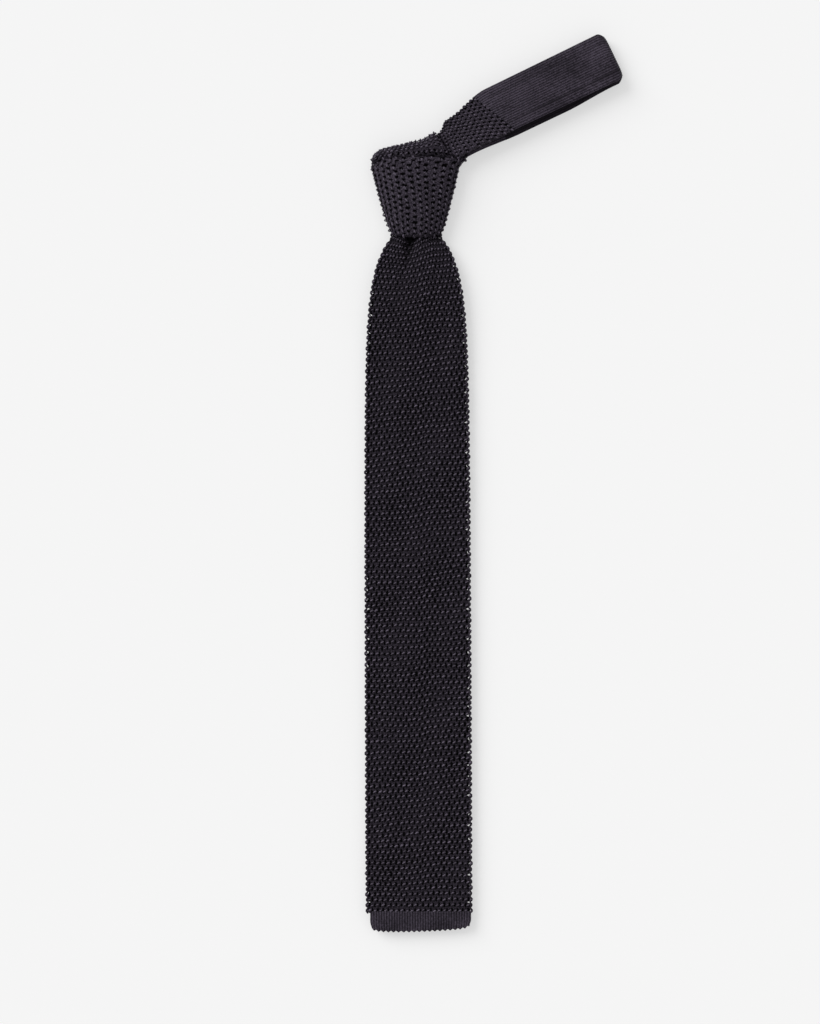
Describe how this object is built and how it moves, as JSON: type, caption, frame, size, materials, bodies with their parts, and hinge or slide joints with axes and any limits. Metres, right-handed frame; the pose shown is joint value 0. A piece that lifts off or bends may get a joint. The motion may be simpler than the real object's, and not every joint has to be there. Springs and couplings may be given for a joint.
{
  "type": "knitted necktie",
  "caption": "Square-ended open-knit necktie tied in a four-in-hand knot, with a fine-rib hem and a folded neck loop.",
  "frame": {"origin": "middle of the knot's flat back face, on the surface the tie lies on", "axes": "-Y down the blade towards its hem, +X to the side the neck loop leaves on, +Z out of the front of the tie"},
  "size_m": [0.1451, 0.5056, 0.016],
  "materials": {
    "mesh_knit": "open tuck-stitch knit in a matt near-black yarn",
    "fine_rib_knit": "fine ribbed knit in the same near-black yarn",
    "seam_thread": "chain-stitched seam in black thread"
  },
  "bodies": {
    "knot": {"knot_front_wrap": "mesh_knit", "knot_back_wrap": "mesh_knit", "knot_top_wrap": "mesh_knit", "knot_core": "mesh_knit", "blade_throat": "mesh_knit"},
    "blade": {"blade": "mesh_knit", "blade_hem": "fine_rib_knit", "blade_back_seam": "seam_thread"},
    "tail_strand": {"tail_strand": "fine_rib_knit"},
    "tail": {"tail_fine_panel": "fine_rib_knit", "tail_mesh_panel": "mesh_knit", "tail_hem": "fine_rib_knit"},
    "neck_loop": {"neckband_mesh_strap": "mesh_knit", "neckband_upper_leg": "fine_rib_knit", "neckband_lower_leg": "fine_rib_knit"},
    "loop_bend": {"neckband_bend": "fine_rib_knit"}
  },
  "joints": [
    {"name": "blade_lift", "type": "hinge", "parent": "knot", "child": "blade", "pos_m": [0, -0.0276, 0.0088], "axis": [-1, 0, 0], "range_deg": [0, 90]},
    {"name": "tail_slide", "type": "slide", "parent": "knot", "child": "tail_strand", "axis": [0, -1, 0], "range_m": [0, 0.03]},
    {"name": "tail_swing", "type": "hinge", "parent": "tail_strand", "child": "tail", "pos_m": [0, -0.0386, 0.00035], "axis": [0, 0, 1], "range_deg": [-18, 18]},
    {"name": "loop_lift", "type": "hinge", "parent": "knot", "child": "neck_loop", "pos_m": [0.01979, 0.02795, 0.011], "axis": [0.4321, -0.9018, 0], "range_deg": [0, 70]},
    {"name": "loop_draw", "type": "slide", "parent": "neck_loop", "child": "loop_bend", "axis": [-0.9018, -0.4321, 0], "range_m": [0, 0.015], "deforming": ["neckband_mesh_strap", "neckband_upper_leg", "neckband_lower_leg"]}
  ],
  "couplings": [
    {"joint": "loop_draw", "follows": "tail_slide", "ratio": 0.5}
  ]
}
